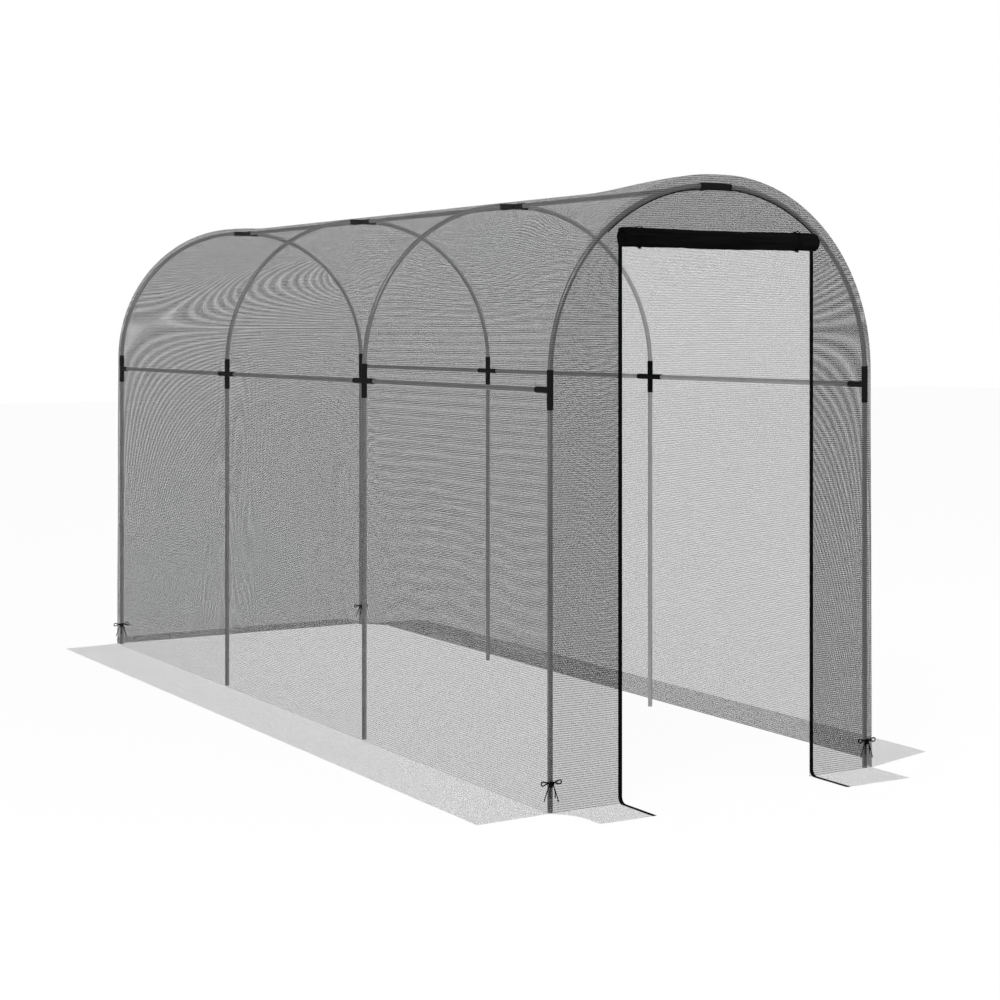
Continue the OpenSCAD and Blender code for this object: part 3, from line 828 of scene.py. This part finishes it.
def make_roll_ties():
    """The cords round the roll: a ring pulled tight, a small loop on top and a knotted nub below."""
    turn = np.linspace(0, 2 * math.pi, 65)[:-1]
    ring_r = ROLL_R - 0.0006
    for tie_x, tag in zip(TIE_XS, ("left", "right")):
        wander = 0.0012 * np.sin(2 * turn)
        ring = np.stack([tie_x + wander, ROLL_Y + ring_r * np.cos(turn), ROLL_Z + ring_r * np.sin(turn)], 1)
        rides(sweep_tube(f"roll_tie_{tag}", ring, CORD_R, CORD, closed=True), "cord", "roll_ties")
        tall = 0.007 if tag == "left" else 0.005
        t = np.linspace(0, 1, 33)
        loop = np.stack([tie_x - 0.020 + 0.034 * t, ROLL_Y - 0.006 - 0.008 * np.sin(math.pi * t),
                         ROLL_Z + ROLL_R - 0.0025 + tall * np.sin(math.pi * t) ** 0.8], 1)
        rides(sweep_tube(f"roll_tie_loop_{tag}", loop, CORD_R, CORD), "cord")
        knot = np.stack([tie_x + 0.004 * np.cos(turn), ROLL_Y - 0.010 + 0.003 * np.sin(2 * turn),
                         ROLL_Z - ROLL_R - 0.0012 + 0.0026 * np.sin(3 * turn)], 1)
        rides(sweep_tube(f"roll_tie_knot_{tag}", knot, CORD_R * 1.05, CORD, sides=8, closed=True), "cord")


def make_hoop_underside_painted_shade():
    """Painted shade: a thin black cord along the underside of the front hoop, from the roll's one end over the
    crown to the other, standing in for the shade on the tube's underside."""
    start = math.asin((DOOR_TOP - BEND_Z) / BEND_R) - 0.01
    angle = np.linspace(start, math.pi / 2, 60)
    inward = TUBE_R + 0.0014 + (SLEEVE_R - TUBE_R) * fade((math.pi / 2 - angle - 0.055) / 0.03)
    reach = BEND_R - inward
    half = np.stack([CROWN_FLAT + reach * np.cos(angle), BEND_Z + reach * np.sin(angle)], 1)
    path = np.vstack([half * [-1, 1], half[::-1]])
    line = np.stack([MID_X + path[:, 0], np.full(len(path), HOOP_Y[0] - 0.002), path[:, 1]], 1)
    # painted shade: a black cord drawn along the hoop's underside in place of its shade
    rides(sweep_tube("hoop_underside_painted_shade", line, 0.0018, TAPE, sides=8), "tape")


make_door_tape(-1)
make_door_tape(1)
make_rolled_door()
make_roll_neck()
make_roll_ties()
# painted shade line under the front hoop
make_hoop_underside_painted_shade()


# ---------------------------------------------------------------- finishes of the CAD nodes

for name, node in nodes.items():
    if name.startswith(("post_", "hoop_", "rails_")) or name == "ridge_tubes":
        finish = STEEL
    elif name.startswith(("shoulder_", "crown_")):
        finish = CONNECTOR
    else:
        continue
    for slot in node.material_slots:
        slot.material = finish


# ---------------------------------------------------------------- studio

FLOOR_HALF = 30.0
floor = new_mesh("floor", np.array([[-FLOOR_HALF, -FLOOR_HALF, 0.0], [FLOOR_HALF, -FLOOR_HALF, 0.0],
                                    [FLOOR_HALF, FLOOR_HALF, 0.0], [-FLOOR_HALF, FLOOR_HALF, 0.0]]),
                 np.array([[0, 1, 2, 3]]), np.zeros((4, 2)), make_floor(), smooth=False)


def add_lamp(name, place, aim, size, power):
    """A soft rectangular lamp at a place, turned to face a point."""
    lamp = bpy.data.lights.new(name, "AREA")
    lamp.shape = "SQUARE"
    lamp.size = size
    lamp.energy = power
    holder = bpy.data.objects.new(name, lamp)
    holder.location = place
    holder.rotation_euler = (mathutils.Vector(aim) - mathutils.Vector(place)).to_track_quat("-Z", "Y").to_euler()
    bpy.context.scene.collection.objects.link(holder)


LAMP_AIM = (0, 0, 0.8)
WORLD_LIGHT = 0.62
WORLD_SEEN = 1.0
add_lamp("key", (-5.0, -5.5, 6.5), LAMP_AIM, 3.0, 420.0)
add_lamp("fill", (6.0, -4.0, 4.0), LAMP_AIM, 4.0, 160.0)

world = bpy.data.worlds.new("world")
world.use_nodes = True
tree = world.node_tree
tree.nodes.clear()
background = tree.nodes.new("ShaderNodeBackground")
path = tree.nodes.new("ShaderNodeLightPath")
seen = tree.nodes.new("ShaderNodeMix")
seen.data_type = "FLOAT"
seen.inputs[2].default_value = WORLD_LIGHT
seen.inputs[3].default_value = WORLD_SEEN
tree.links.new(path.outputs["Is Camera Ray"], seen.inputs[0])
tree.links.new(seen.outputs[0], background.inputs["Strength"])
background.inputs["Color"].default_value = (1.0, 1.0, 1.0, 1.0)
output = tree.nodes.new("ShaderNodeOutputWorld")
tree.links.new(background.outputs[0], output.inputs["Surface"])
bpy.context.scene.world = world
bpy.context.scene.view_settings.view_transform = "Standard"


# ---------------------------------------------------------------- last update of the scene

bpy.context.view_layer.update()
